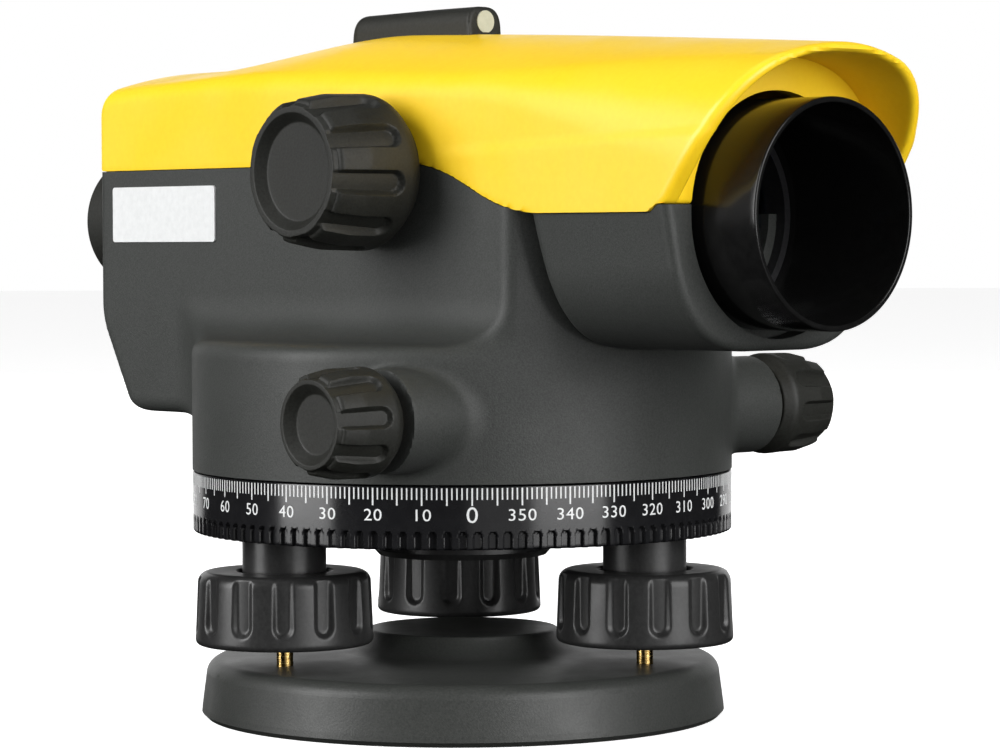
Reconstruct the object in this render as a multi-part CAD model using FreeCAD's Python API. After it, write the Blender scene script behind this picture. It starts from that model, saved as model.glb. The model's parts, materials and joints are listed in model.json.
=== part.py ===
import FreeCAD, Part
import math
import os

# Automatic level, in millimetres. Origin: centre of the base's underside, on the vertical axis.
# +Z is up, the objective looks along -Y, the focusing knob is on the -X side.

V = FreeCAD.Vector
ORIGIN = V(0, 0, 0)
UP = V(0, 0, 1)

# Driving dimensions
RING_R = 49.5
RING_BOTTOM = 34.1
RING_TOP = 45.0
RING_POCKETS = 120
DISC_R = 46.4
BASE_R = 48.1
BASE_TOP = 10.4
BASE_BOSS_R = 17.3
BASE_BOSS_TOP = 15.7
SOLE_TOP = 2.0
THREAD_R = 6.8
THREAD_DEPTH = 11.0
FOOT_CIRCLE_R = 37.3
FOOT_ANGLES = (49.1, 169.1, 289.1)
FOOT_KNOB_TURNS = (1.0, 8.4, 13.3)
FOOT_KNOB_R = 16.0
FOOT_KNOB_BOTTOM = 15.0
FOOT_KNOB_TOP = 28.1
FOOT_FLUTES = 13
FOOT_FLUTE_R = 2.3
STEM_R = 1.5
LEG_SCREW_R = 3.0
LEG_R = 7.5
LEG_BOTTOM = 21.2
DRUM_R = 49.6
DRUM_BOTTOM = 45.3
DRUM_TOP = 69.0
WALL_X = 27.0
WALL_REAR = 75.0
NECK_REAR = -30.0
SEAM_REAR = 100.5
SEAM_FRONT = 91.4
BARREL_REAR = -48.5
BARREL_FRONT = -79.2
BARREL_BOTTOM = 68.3
AXIS_Z = 91.07
SHADE_R = 19.39
SHADE_WALL = 1.0
SHADE_FRONT = -92.1
SHADE_REAR = -54.0
MOUTH_R = 20.8
VISOR_FRONT = -95.6
SKIN = 2.4
DRIVE_Y = -29.4
DRIVE_Z = 56.3
DRIVE_TIP = 60.9
DRIVE_KNOB_REAR = 46.8
BOSS_R = 9.0
BOSS_END = 45.3
WHEEL_TEETH = 50
WHEEL_PITCH_R = 25.0
MODULE = 1.0
WORM_PITCH_R = -DRIVE_Y - WHEEL_PITCH_R
SPINDLE_R = 10.0
RUNNING_GAP = 0.05
FOCUS_Y = -9.4
FOCUS_Z = 98.95
FOCUS_TIP = 48.1
FOCUS_KNOB_REAR = 28.4
FOCUS_KNOB_TURN = 9.0
DRIVE_KNOB_TURN = -2.0
FOCUS_FLUTE_R = 1.9
PINION_PITCH_R = 2.5
PINION_TEETH = 10
OBJECTIVE_R = 17.0
TUBE_R = 15.0
TUBE_BORE = 13.5
SIGHT_WINDOW_R = 2.05
SIGHT_WINDOW_Z = 126.8
EYE_R = 13.2
EYE_END = 100.2
COMP_Y = 29.0
LEVEL_X = 37.2
LEVEL_Y = 8.0
SCREW_R = 1.5
SCREW_HEAD_R = 2.7
SOLE_SCREW_CIRCLE_R = 32.0
COVER_POST_SPOTS = ((-21.4, 40.0), (21.4, 40.0), (-21.4, -30.0), (21.4, -30.0))
FLANGE_LUG_ANGLES = (90.0, 210.0, 330.0)
FLANGE_LUG_R = 41.5


def place(u, v, w, plane):
    """The point at (u, v) in a plane, w away from it along the plane's normal."""
    if plane == "xy":
        return V(u, v, w)
    if plane == "xz":
        return V(u, w, v)
    return V(w, u, v)


def outline(corners, plane, w=0.0):
    """A face whose corners (u, v) or (u, v, radius) are rounded to their radius."""
    count = len(corners)
    edges = []
    ends = []
    for i, corner in enumerate(corners):
        here = V(corner[0], corner[1], 0)
        radius = corner[2] if len(corner) > 2 else 0.0
        if radius == 0.0:
            ends.append((here, here, None))
            continue
        before = V(*corners[i - 1][:2], 0) - here
        after = V(*corners[(i + 1) % count][:2], 0) - here
        before.normalize()
        after.normalize()
        half = before.getAngle(after) / 2
        reach = radius / math.tan(half)
        middle = before + after
        middle.normalize()
        bulge = here + middle * (radius / math.sin(half) - radius)
        ends.append((here + before * reach, here + after * reach, bulge))
    for i, (start, stop, bulge) in enumerate(ends):
        if bulge is not None:
            points = [place(p.x, p.y, w, plane) for p in (start, bulge, stop)]
            edges.append(Part.Arc(*points).toShape())
        following = ends[(i + 1) % count][0]
        if stop.distanceToPoint(following) > 1e-6:
            ends_3d = [place(p.x, p.y, w, plane) for p in (stop, following)]
            edges.append(Part.LineSegment(*ends_3d).toShape())
    return Part.Face(Part.Wire(edges))


def slab(corners, plane, low, high):
    """A rounded outline in a plane, extruded from low to high along the plane's normal."""
    return outline(corners, plane, low).extrude(place(0, 0, high - low, plane))


def turned(corners, plane="xz"):
    """A lathe part: (radius, height) corners turned about the vertical axis."""
    return outline(corners, plane).revolve(ORIGIN, UP, 360)


def rod(radius, low, high, x=0.0, y=0.0):
    return Part.makeCylinder(radius, high - low, V(x, y, low), UP)


def rod_x(radius, low, high, y, z):
    return Part.makeCylinder(radius, high - low, V(low, y, z), V(1, 0, 0))


def rod_y(radius, low, high, x=0.0, z=AXIS_Z):
    return Part.makeCylinder(radius, high - low, V(x, low, z), V(0, 1, 0))


def block(x0, x1, y0, y1, z0, z1):
    return Part.makeBox(x1 - x0, y1 - y0, z1 - z0, V(x0, y0, z0))


def joined(shapes):
    return shapes[0].multiFuse(shapes[1:]).removeSplitter()


def less(shape, cutters):
    return shape.cut(cutters)


def copies(shape, count, centre=ORIGIN, axis=UP, start=0.0):
    """count copies of a shape, evenly spaced about an axis."""
    made = []
    for i in range(count):
        turned_copy = shape.copy()
        turned_copy.rotate(centre, axis, start + 360.0 * i / count)
        made.append(turned_copy)
    return made


def at_feet(shape, turns=(0.0, 0.0, 0.0)):
    """One copy of a shape drawn on the vertical axis, at each footscrew, turned by its own angle."""
    made = []
    for angle, own_turn in zip(FOOT_ANGLES, turns):
        moved = shape.copy()
        moved.rotate(ORIGIN, UP, own_turn)
        turn = math.radians(angle)
        moved.translate(V(math.cos(turn), math.sin(turn), 0) * FOOT_CIRCLE_R)
        made.append(moved)
    return made


def along_x(shape, tip, y, z, side):
    """A part drawn with its tip at z = 0 and its body below, turned so that it points to side * X."""
    moved = shape.copy()
    moved.rotate(ORIGIN, V(0, 1, 0), 90 * side)
    moved.translate(V(side * tip, y, z))
    return moved


def toothed(count, root_r, tip_r, root_width, tip_width, low, high):
    """A spur gear blank with straight-sided teeth; the first tooth points along +X."""
    tooth = slab([(root_r - 0.4, -root_width / 2), (tip_r, -tip_width / 2), (tip_r, tip_width / 2),
                  (root_r - 0.4, root_width / 2)], "xy", low, high)
    return joined([rod(root_r, low, high)] + copies(tooth, count))


# Base

def between_feet(shape):
    """Copies of a shape at the sole's screws, half way between the footscrews."""
    moved = shape.copy()
    moved.translate(V(SOLE_SCREW_CIRCLE_R, 0, 0))
    return copies(moved, 3, start=FOOT_ANGLES[0] + 60)


def base_plate():
    dish = turned([(0, SOLE_TOP), (BASE_R - 0.1, SOLE_TOP), (BASE_R - 1.2, BASE_TOP, 2.8), (19.1, 12.0, 5.8),
                   (BASE_BOSS_R, BASE_BOSS_TOP, 0.4), (0, BASE_BOSS_TOP)])
    hollow = turned([(13.0, SOLE_TOP - 0.5), (43.5, SOLE_TOP - 0.5), (43.0, 5.2), (13.0, 5.2)])
    posts = between_feet(rod(4.0, SOLE_TOP - 1, 5.5))
    insert_seat = rod(10.95, SOLE_TOP - 0.5, 12.4)
    stems = at_feet(rod(STEM_R + RUNNING_GAP, 4.0, 14.0))
    ends = at_feet(rod(3.2 + RUNNING_GAP, 4.0, 7.1))
    screws = between_feet(rod(SCREW_R, 0.0, 9.5))
    return less(dish, [less(hollow, posts), insert_seat] + stems + ends + screws)


def sole_screw_blank():
    return turned([(0, 0.2), (SCREW_R * 1.4, 0.2), (SCREW_R, 0.9), (SCREW_R, 9.0), (0, 9.0)])


def base_sole():
    sole = turned([(0, 0), (BASE_R - 0.9, 0), (BASE_R, 0.9), (BASE_R - 0.1, SOLE_TOP), (0, SOLE_TOP)])
    mouths = between_feet(rod(SCREW_R * 1.4, -0.5, 0.2))
    return less(sole, [rod(10.95, -1, 3)] + mouths + between_feet(sole_screw_blank()))


def sole_screws():
    slot = block(-3.0, 3.0, -0.25, 0.25, 0, 0.6)
    return Part.makeCompound(between_feet(less(sole_screw_blank(), [slot])))


def tripod_insert():
    return less(rod(10.95, 0, 12.4), [rod(THREAD_R, -1, THREAD_DEPTH)])


def spring_plate():
    hub = rod(20.0, 2.9, 3.7)
    tip = FOOT_CIRCLE_R + 4.5
    arm = slab([(10, -7), (tip, -5, 4.4), (tip, 5, 4.4), (10, 7)], "xy", 2.9, 3.7)
    arms = copies(arm, 3, start=FOOT_ANGLES[0])
    return less(joined([hub] + arms), [rod(13.2, 2, 5)])


# Footscrews

def footscrew_knob():
    flute_low = FOOT_KNOB_BOTTOM + 4.3
    profile = [(0, FOOT_KNOB_BOTTOM), (FOOT_KNOB_R, FOOT_KNOB_BOTTOM, 1.0),
               (FOOT_KNOB_R - 0.6, FOOT_KNOB_TOP, 2.0), (8.3, FOOT_KNOB_TOP, 0.5), (8.2, 17.6), (0, 17.6)]
    knob = fluted(profile, FOOT_FLUTES, FOOT_FLUTE_R, FOOT_KNOB_R + 1.2, flute_low, 31.0, 0.0)
    return less(knob, [rod(STEM_R, 10, 20)])


def footscrew_spindle():
    return turned([(0, 3.8), (2.4, 3.8), (3.2, 4.6), (3.2, 7.0), (STEM_R, 7.0), (STEM_R, 17.6),
                   (LEG_SCREW_R, 17.6), (LEG_SCREW_R, 33.2), (2.5, 33.7), (0, 33.7)])


# Tribrach

def tribrach_plate():
    disc = turned([(0, 29.3), (15.4, 29.3), (16.4, 30.4), (16.4, 34.5), (45.0, 34.5), (45.6, 35.1),
                   (45.6, 38.0), (20.0, 38.0), (20.0, 43.6), (0, 43.6)])
    leg = turned([(0, LEG_BOTTOM), (LEG_R - 0.5, LEG_BOTTOM), (LEG_R, LEG_BOTTOM + 0.5), (LEG_R, 35.0),
                  (0, 35.0)])
    legs = at_feet(leg)
    bores = at_feet(rod(5.2, 18.0, 37.0))
    return less(joined([disc] + legs), bores + [rod(SPINDLE_R, 31.0, 50.0)])


def leg_bushes():
    bush = less(rod(5.15, LEG_BOTTOM + 0.2, 36.9), [rod(LEG_SCREW_R + RUNNING_GAP, 18, 50)])
    return Part.makeCompound(at_feet(bush))


def axis_spindle():
    return turned([(0, 31.1), (SPINDLE_R - 0.03, 31.1), (SPINDLE_R - 0.03, 60.2), (7.0, 60.2), (7.0, 64.6),
                   (6.4, 65.0), (0, 65.0)])


def spindle_nut():
    corners = []
    for angle in range(0, 360, 60):
        turn = math.radians(angle)
        corners.append((9.6 * math.cos(turn), 9.6 * math.sin(turn)))
    return less(slab(corners, "xy", 61.4, 64.2), [rod(7.0, 60, 65)])


def graduated_ring():
    ring = turned([(DISC_R, RING_BOTTOM), (RING_R - 0.5, RING_BOTTOM, 0.3), (RING_R, RING_BOTTOM + 0.8, 0.3),
                   (RING_R, RING_TOP, 0.2), (DISC_R, RING_TOP)])
    shaft = rod_x(0.75, RING_R - 0.45, RING_R + 2, 0, 36.4)
    slot = block(RING_R - 0.45, RING_R + 2, -0.75, 0.75, RING_BOTTOM - 1, 36.4)
    pocket = joined([shaft, slot])
    return less(ring, copies(pocket, RING_POCKETS, start=1.5))


def circle_disc():
    return less(rod(DISC_R, 38.7, 41.5), [rod(20.0 + RUNNING_GAP, 38, 42)])


# Slipping wheel of the horizontal drive

def worm_wheel():
    depth = WORM_PITCH_R - 3.3 - 0.3
    rim = toothed(WHEEL_TEETH, WHEEL_PITCH_R - 1.1, WHEEL_PITCH_R + depth, 1.2, 0.5,
                  DRIVE_Z - 2, DRIVE_Z + 2)
    hub = rod(14.0, 53.0, 60.1)
    return less(joined([rim, hub]), [rod(SPINDLE_R + RUNNING_GAP, 50, 62)])


def clutch_spring():
    return less(rod(11.5, 60.5, 61.2), [rod(7.3, 60, 62)])


# Alidade housing

def seam_corners(lift):
    """The seam's line from the rear to the front; lift moves it up."""
    return [(WALL_REAR + 5, SEAM_REAR + lift), (-22.0, SEAM_REAR + lift, 14.0),
            (-42.0, SEAM_FRONT + lift, 14.0), (BARREL_FRONT - 20, SEAM_FRONT + lift)]


def below_seam(lift):
    return slab(seam_corners(lift) + [(BARREL_FRONT - 20, 0), (WALL_REAR + 5, 0)], "yz", -60, 60)


def above_seam(lift):
    return slab(seam_corners(lift) + [(BARREL_FRONT - 20, 150), (WALL_REAR + 5, 150)], "yz", -60, 60)


def drum_outer():
    return turned([(0, DRUM_BOTTOM), (DRUM_R, DRUM_BOTTOM), (DRUM_R, DRUM_TOP, 3.0), (0, DRUM_TOP)])


def telescope_outer():
    """The flat-sided body; its front follows the drum."""
    plan = slab([(-WALL_X, -60), (WALL_X, -60), (WALL_X, WALL_REAR, 3.0), (-WALL_X, WALL_REAR, 3.0)],
                "xy", 50, 103)
    side = slab([(-60, 60), (45.0, 60), (45.0, 54.4), (66.0, 54.4, 3.0), (WALL_REAR, 71.0, 3.0),
                 (WALL_REAR, 104), (-60, 104)], "yz", -40, 40)
    reach = joined([rod(DRUM_R, 50, 103), block(-40, 40, 0, 80, 50, 103)])
    return plan.common(side).common(reach)


def barrel_outer():
    """The front barrel, U-shaped in section, and the neck that joins it to the telescope body."""
    barrel = slab([(-26.6, 92), (-21.4, BARREL_BOTTOM, 12.0), (21.4, BARREL_BOTTOM, 12.0), (26.6, 92)],
                  "xz", BARREL_FRONT, BARREL_REAR)
    neck = slab([(-16.0, BARREL_BOTTOM), (16.0, BARREL_BOTTOM), (22.5, 92), (-22.5, 92)],
                "xz", BARREL_REAR - 1, NECK_REAR)
    return joined([barrel, neck])


def wall_bores():
    """Bores that cross the seam, cut from the housing and from the cover."""
    return [rod_x(5.0, -40, -20, FOCUS_Y, FOCUS_Z), rod_y(11.1, 60, 80), rod_y(SHADE_R, -120, SHADE_REAR),
            rod_y(MOUTH_R, -120, BARREL_FRONT + 4.0)]


def housing_hollows():
    """The space for the works, the drum's inside and the bores."""
    works = slab([(-WALL_X + SKIN, -36.0, 4.0), (WALL_X - SKIN, -36.0, 4.0), (WALL_X - SKIN, 72.0, 2.0),
                  (-WALL_X + SKIN, 72.0, 2.0)], "xy", 72.0, 110)
    tail = slab([(53.0, 58.0), (63.0, 58.0, 2.0), (71.5, 74.0), (53.0, 74.0)], "yz", -24.0, 24.0)
    drum = turned([(0, 40), (DRUM_R - 2.8, 40), (DRUM_R - 2.8, 65.6, 2.0), (0, 65.6)])
    return [works, tail, drum, rod_y(TUBE_R, -70, -30)] + wall_bores()


def drum_fittings():
    """Lugs for the flange screws and the inner halves of the drive bosses, inside the drum."""
    lugs = [rod(4.5, 49.0, 66.0, x, y) for x, y in flange_screw_spots()]
    bosses = [rod_x(7.5, low, low + 14.0, DRIVE_Y, DRIVE_Z) for low in (-41.0, 27.0)]
    inside = rod(DRUM_R - 1.0, DRUM_BOTTOM, 66.0)
    return [fitting.common(inside) for fitting in lugs + bosses]


def flange_screw_spots():
    spots = []
    for angle in FLANGE_LUG_ANGLES:
        turn = math.radians(angle)
        spots.append((FLANGE_LUG_R * math.cos(turn), FLANGE_LUG_R * math.sin(turn)))
    return spots


def lower_housing():
    bosses = rod_x(BOSS_R, -BOSS_END, BOSS_END, DRIVE_Y, DRIVE_Z)
    upper = joined([telescope_outer(), barrel_outer()]).common(below_seam(0))
    outer = joined([drum_outer(), upper, bosses])
    shell = joined([less(outer, housing_hollows())] + drum_fittings())
    shafts = [rod_x(5.0, -60, 60, DRIVE_Y, DRIVE_Z)]
    cover_screw_holes = [rod(SCREW_R, 60, 73, x, y) for x, y in COVER_POST_SPOTS]
    cover_screw_heads = [rod(SCREW_HEAD_R + 0.1, 60, 67.6, x, y) for x, y in COVER_POST_SPOTS]
    flange_screw_holes = [rod(SCREW_R, 48, 60, x, y) for x, y in flange_screw_spots()]
    return less(shell, shafts + cover_screw_holes + cover_screw_heads + flange_screw_holes)


def bottom_flange():
    disc = rod(DRUM_R - 2.9, 45.8, 49.0)
    holes = [rod(SCREW_R, 45, 50, x, y) for x, y in flange_screw_spots()]
    heads = [rod(SCREW_HEAD_R + 0.1, 45, 47.2, x, y) for x, y in flange_screw_spots()]
    return less(disc, [rod(13.0, 45, 50)] + holes + heads)


def screws_up(spots, head_low, head_high, tip):
    """Screws that point up, each with a slotted head."""
    made = []
    for x, y in spots:
        screw = joined([rod(SCREW_HEAD_R, head_low, head_high, x, y), rod(SCREW_R, head_high, tip, x, y)])
        made.append(less(screw, [block(x - 3, x + 3, y - 0.3, y + 0.3, head_low - 1, head_low + 0.7)]))
    return Part.makeCompound(made)


def axis_bush():
    bush = joined([rod(13.0, 45.8, 49.0), rod(14.0, 49.0, 52.6)])
    return less(bush, [rod(SPINDLE_R + RUNNING_GAP, 40, 60)])


# Cover

def cover_block(inset):
    """The cover's outer form, drawn in from its skin by inset; its lower side is still open."""
    side = slab([(WALL_REAR + 0.1 - inset, 80), (WALL_REAR - 0.4 - inset, 118.2 - inset, 4.0),
                 (54, 120.4 - inset, 30), (30, 125.3 - inset, 25), (0, 125.3 - inset, 60),
                 (VISOR_FRONT, 119.2 - inset), (-87.1, 104.0, 30), (-77.9, SEAM_FRONT), (-77.9, 80)],
                "yz", -40, 40)
    half = WALL_X + 0.1 - inset
    arch = slab([(-half, 80), (-half, 116.4 - inset, 7.0), (0, 127.6 - inset, 30), (half, 116.4 - inset, 7.0),
                 (half, 80)], "xz", -120, 100)
    return side.common(arch)


def cover_posts():
    return [rod(2.4, 72.1, 122.0, x, y).common(cover_block(1.0)) for x, y in COVER_POST_SPOTS]


def top_cover():
    shell = cover_block(0).common(above_seam(0.1))
    hollow = cover_block(SKIN).common(block(-50, 50, BARREL_FRONT + SKIN, WALL_REAR - SKIN, 60, 150))
    visor = slab([(-24.2, 70), (-24.2, 117.4, 15), (24.2, 117.4, 15), (24.2, 70)], "xz", -120, BARREL_FRONT)
    cut = less(shell, [hollow, visor] + wall_bores())
    tapped = [rod(SCREW_R, 60, 84, x, y) for x, y in COVER_POST_SPOTS]
    return less(joined([cut] + cover_posts()), tapped)


def sight_body():
    side = slab([(-7.0, 118), (27.6, 118), (27.6, 129.6, 3.5), (-7.0, 129.6, 1.0)], "yz", -4.0, 4.0)
    crown = slab([(-4.0, 100), (-4.0, 129.8, 2.5), (4.0, 129.8, 2.5), (4.0, 100)], "xz", -20, 40)
    return less(side.common(crown), [cover_block(0), rod_y(SIGHT_WINDOW_R, -9.0, -5.2, z=SIGHT_WINDOW_Z)])


def sight_window():
    return less(rod_y(SIGHT_WINDOW_R, -6.8, -5.2, z=SIGHT_WINDOW_Z), [cover_block(0)])


def label_plate():
    return slab([(38.6, 86.9, 0.6), (70.4, 86.9, 0.6), (70.4, 97.4, 0.6), (38.6, 97.4, 0.6)], "yz",
                -WALL_X - 0.35, -WALL_X)


# Telescope

def lens(radius, front, back, front_curve, back_curve, x=0.0, z=AXIS_Z):
    """A lens on the telescope's axis; a curve of 0 is flat."""
    body = rod_y(radius, front, back, x, z)
    if front_curve:
        body = body.common(Part.makeSphere(front_curve, V(x, front + front_curve, z)))
    if back_curve:
        body = body.common(Part.makeSphere(back_curve, V(x, back - back_curve, z)))
    return body


def sunshade():
    bore = rod_y(SHADE_R - SHADE_WALL, SHADE_FRONT - 1, -50.0)
    return less(rod_y(SHADE_R, SHADE_FRONT, SHADE_REAR), [bore])


def objective_cell():
    ring = rod_y(SHADE_R - SHADE_WALL, -65.0, SHADE_REAR)
    return less(ring, [rod_y(OBJECTIVE_R, -70, -57.0), rod_y(15.6, -80, -50)])


def telescope_tube():
    slot = block(-17, -11.5, -26.0, 12.0, 90.0, 93.5)
    return less(rod_y(TUBE_R, SHADE_REAR + 0.1, 10.0), [rod_y(TUBE_BORE, -70, 20), slot])


def focus_carriage():
    ring = less(rod_y(TUBE_BORE - RUNNING_GAP, -19.0, -1.0), [rod_y(9.5, -30, 10)])
    bracket = block(-17.8, -12.4, -14.0, -4.0, 90.4, 93.0)
    rack_top = FOCUS_Z - PINION_PITCH_R
    bar = block(-18.2, -15.4, FOCUS_Y - 11.8, FOCUS_Y + 11.8, 93.0, rack_top - 1.1)
    pitch = 2 * math.pi * PINION_PITCH_R / PINION_TEETH
    teeth = []
    for i in range(-7, 7):
        y = FOCUS_Y + (i + 0.5) * pitch
        corners = [(y - 0.42, rack_top - 1.3), (y + 0.42, rack_top - 1.3), (y + 0.14, rack_top + 0.45),
                   (y - 0.14, rack_top + 0.45)]
        teeth.append(slab(corners, "yz", -18.2, -15.4))
    bored = less(joined([ring, bracket]), [rod_y(9.5, -30, 10)])
    return joined([bored, bar] + teeth)


def focusing_lens():
    return lens(9.5, -13.0, -9.0, 60.0, 40.0)


def focus_shaft():
    shaft = rod(2.0, 19.0, FOCUS_TIP - 2.5)
    pinion = toothed(PINION_TEETH, PINION_PITCH_R - 0.6, PINION_PITCH_R + 0.4, 0.75, 0.3, 15.6, 18.3)
    neck = rod(1.8, 18.3, 19.0)
    drawn = joined([shaft, neck, pinion])
    drawn.rotate(ORIGIN, V(0, 1, 0), -90)
    drawn.translate(V(0, FOCUS_Y, FOCUS_Z))
    return drawn


def fluted(profile, flutes, flute_r, centre_r, low, high, start):
    """A lathe-turned knob with flutes that are round at their low end and run out at its crest."""
    body = turned(profile)
    groove = rod(flute_r, low, high, x=centre_r)
    end = Part.makeSphere(flute_r, V(centre_r, 0, low))
    return less(body, copies(joined([groove, end]), flutes, start=start))


def focus_knob():
    rear = FOCUS_KNOB_REAR - FOCUS_TIP
    profile = [(2.0, rear + 3.7), (6.2, rear + 3.7), (6.2, rear), (11.6, rear), (13.85, rear + 3.1, 2.6),
               (13.55, -7.0, 20), (11.4, 0, 1.0), (9.9, 0, 0.3), (8.6, -1.7), (0, -1.7), (0, -2.5),
               (2.0, -2.5)]
    drawn = fluted(profile, 10, FOCUS_FLUTE_R, 14.4, rear + 7.1, 1.0, FOCUS_KNOB_TURN)
    return along_x(drawn, FOCUS_TIP, FOCUS_Y, FOCUS_Z, -1)


def focus_bush():
    collar = rod_x(6.4, -24.5, -22.0, FOCUS_Y, FOCUS_Z)
    sleeve = joined([rod_x(5.0, -30.4, -22.0, FOCUS_Y, FOCUS_Z), collar])
    return less(sleeve, [rod_x(2.0 + RUNNING_GAP, -40, -10, FOCUS_Y, FOCUS_Z)])


# Horizontal drive

def worm():
    """Right-handed worm about the vertical axis, with a thread crest at +X at height 0."""
    lead = math.pi * MODULE
    turns = 4
    core_r = 3.3
    helix = Part.makeHelix(lead, turns * lead, core_r)
    tip = WORM_PITCH_R + 0.8
    root = core_r - 0.4
    section = Part.makePolygon([V(root, 0, -0.6), V(tip, 0, -0.25), V(tip, 0, 0.25), V(root, 0, 0.6),
                                V(root, 0, -0.6)])
    thread = Part.Wire(helix.Edges).makePipeShell([Part.Wire(section.Edges)], True, True)
    thread.translate(V(0, 0, -turns * lead / 2))
    return joined([rod(core_r, -9.0, 9.0), thread])


def drive_shaft():
    drawn = joined([worm(), rod(2.5, -DRIVE_TIP + 3.0, DRIVE_TIP - 3.0)])
    drawn.rotate(ORIGIN, V(1, 1, 1), 120)
    drawn.translate(V(0, DRIVE_Y, DRIVE_Z))
    return drawn


def drive_knob(side):
    rear = DRIVE_KNOB_REAR - DRIVE_TIP
    profile = [(2.5, rear), (7.8, rear), (9.5, rear + 2.0, 1.8), (9.3, -5.0, 12), (7.6, 0, 0.8),
               (6.7, 0, 0.3), (5.1, -1.6), (0, -1.6), (0, -3.0), (2.5, -3.0)]
    drawn = fluted(profile, 9, 1.55, 10.0, rear + 5.2, 1.0, DRIVE_KNOB_TURN)
    return along_x(drawn, DRIVE_TIP, DRIVE_Y, DRIVE_Z, side)


def drive_bushes():
    bores = [rod_x(2.5 + RUNNING_GAP, -60, 60, DRIVE_Y, DRIVE_Z)]
    sleeves = [rod_x(5.0, low, low + 17.8, DRIVE_Y, DRIVE_Z) for low in (-45.8, 28.0)]
    return Part.makeCompound([less(sleeve, bores) for sleeve in sleeves])


# Compensator and reticle

def compensator_frame():
    outside = block(-12, 12, COMP_Y - 15, COMP_Y + 15, 72.0, 106.0)
    inside = block(-10, 10, COMP_Y - 20, COMP_Y + 20, 78.0, 103.0)
    return less(outside, [inside])


def fixed_prism():
    return slab([(COMP_Y - 9, 103.0), (COMP_Y + 9, 103.0), (COMP_Y, 94.0)], "yz", -7, 7)


def suspension_wires():
    wires = [rod(0.15, 84.1, 103.0, x, COMP_Y + y) for x in (-8.6, 8.6) for y in (-10.0, 10.0)]
    return Part.makeCompound(wires)


def pendulum_carrier():
    tray = block(-9.2, 9.2, COMP_Y - 11, COMP_Y + 11, 81.6, 83.9)
    return joined([tray, rod(3.0, 79.2, 82.0, 0, COMP_Y)])


def pendulum_prism():
    return slab([(COMP_Y - 8.5, 83.9), (COMP_Y + 8.5, 83.9), (COMP_Y, 91.6)], "yz", -7, 7)


def damper_cylinder():
    cup = rod(4.6, 78.0, 81.0, 0, COMP_Y)
    return less(cup, [rod(3.6, 78.6, 82.0, 0, COMP_Y)])


def reticle_cell():
    ring = joined([rod_y(9.0, 50.0, 54.0), block(-3, 3, 50.0, 54.0, 72.0, 83.5)])
    return less(ring, [rod_y(6.0, 40, 60)])


def reticle_glass():
    return rod_y(6.0, 51.0, 52.6)


# Eyepiece

def eyepiece_sleeve():
    sleeve = joined([rod_y(11.1, 66.0, 90.0), rod_y(12.6, 68.0, 72.0)])
    return less(sleeve, [rod_y(9.1, 60, 95)])


def dioptre_ring():
    outer = rod_y(EYE_R, 76.5, EYE_END)
    rib_gap = rod_y(0.55, 78.5, 90.0, x=EYE_R + 0.15)
    gaps = copies(rib_gap, 36, V(0, 0, AXIS_Z), V(0, 1, 0))
    bores = [rod_y(11.1 + RUNNING_GAP, 70, 90.6), rod_y(9.7, 80, EYE_END - 1.7),
             rod_y(7.4, 80, 110)]
    return less(outer, bores + gaps)


def eyepiece_cell():
    return less(rod_y(9.1 - RUNNING_GAP, 74.0, 95.5), [rod_y(7.6, 60, 110)])


def eyepiece_lenses():
    return Part.makeCompound([lens(7.6, 90.0, 93.6, 30.0, 18.0), lens(7.6, 76.0, 79.0, 0, 20.0)])


# Circular level on the +X side

def circular_level_housing():
    cup = rod(8.6, DRUM_TOP, 77.0, LEVEL_X, LEVEL_Y)
    bar = slab([(LEVEL_X - 3.5, LEVEL_Y - 13.5, 3.4), (LEVEL_X + 3.5, LEVEL_Y - 13.5, 3.4),
                (LEVEL_X + 3.5, LEVEL_Y + 13.5, 3.4), (LEVEL_X - 3.5, LEVEL_Y + 13.5, 3.4)],
               "xy", DRUM_TOP, 71.5)
    screws = [rod(1.2, 60, 75, LEVEL_X, LEVEL_Y + y) for y in (-10.9, 10.9)]
    return less(joined([cup, bar]), [rod(7.2, 71.0, 80, LEVEL_X, LEVEL_Y)] + screws)


def circular_level_vial():
    return rod(7.2, 71.0, 76.6, LEVEL_X, LEVEL_Y)


def level_adjusting_screws():
    made = []
    for y in (LEVEL_Y - 10.9, LEVEL_Y + 10.9):
        screw = joined([rod(1.2, DRUM_TOP, 71.5, LEVEL_X, y), rod(2.1, 71.5, 73.4, LEVEL_X, y)])
        made.append(less(screw, [block(LEVEL_X - 3, LEVEL_X + 3, y - 0.25, y + 0.25, 72.8, 74)]))
    return Part.makeCompound(made)


def prism_form(inset):
    low = 84.0 - (5.0 if inset else 0.0)
    return [(LEVEL_Y - 9 + inset, low), (LEVEL_Y + 9 + (5.0 if inset else 0.0), low),
            (LEVEL_Y + 9 + (5.0 if inset else 0.0), 98.0 - inset, 0.5), (LEVEL_Y - 1, 98.0 - inset, 2.0),
            (LEVEL_Y - 9 + inset, 91.0, 2.0)]


def prism_housing():
    shell = slab(prism_form(0), "yz", WALL_X, 46.0)
    return less(shell, [slab(prism_form(1.6), "yz", WALL_X + 1.6, 44.4)])


def pentaprism():
    return slab([(LEVEL_Y - 6.5, 85.0), (LEVEL_Y + 7.5, 85.0), (LEVEL_Y + 7.5, 95.4), (LEVEL_Y - 0.5, 95.4),
                 (LEVEL_Y - 6.5, 90.5)], "yz", WALL_X + 1.6, 44.4)


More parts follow.
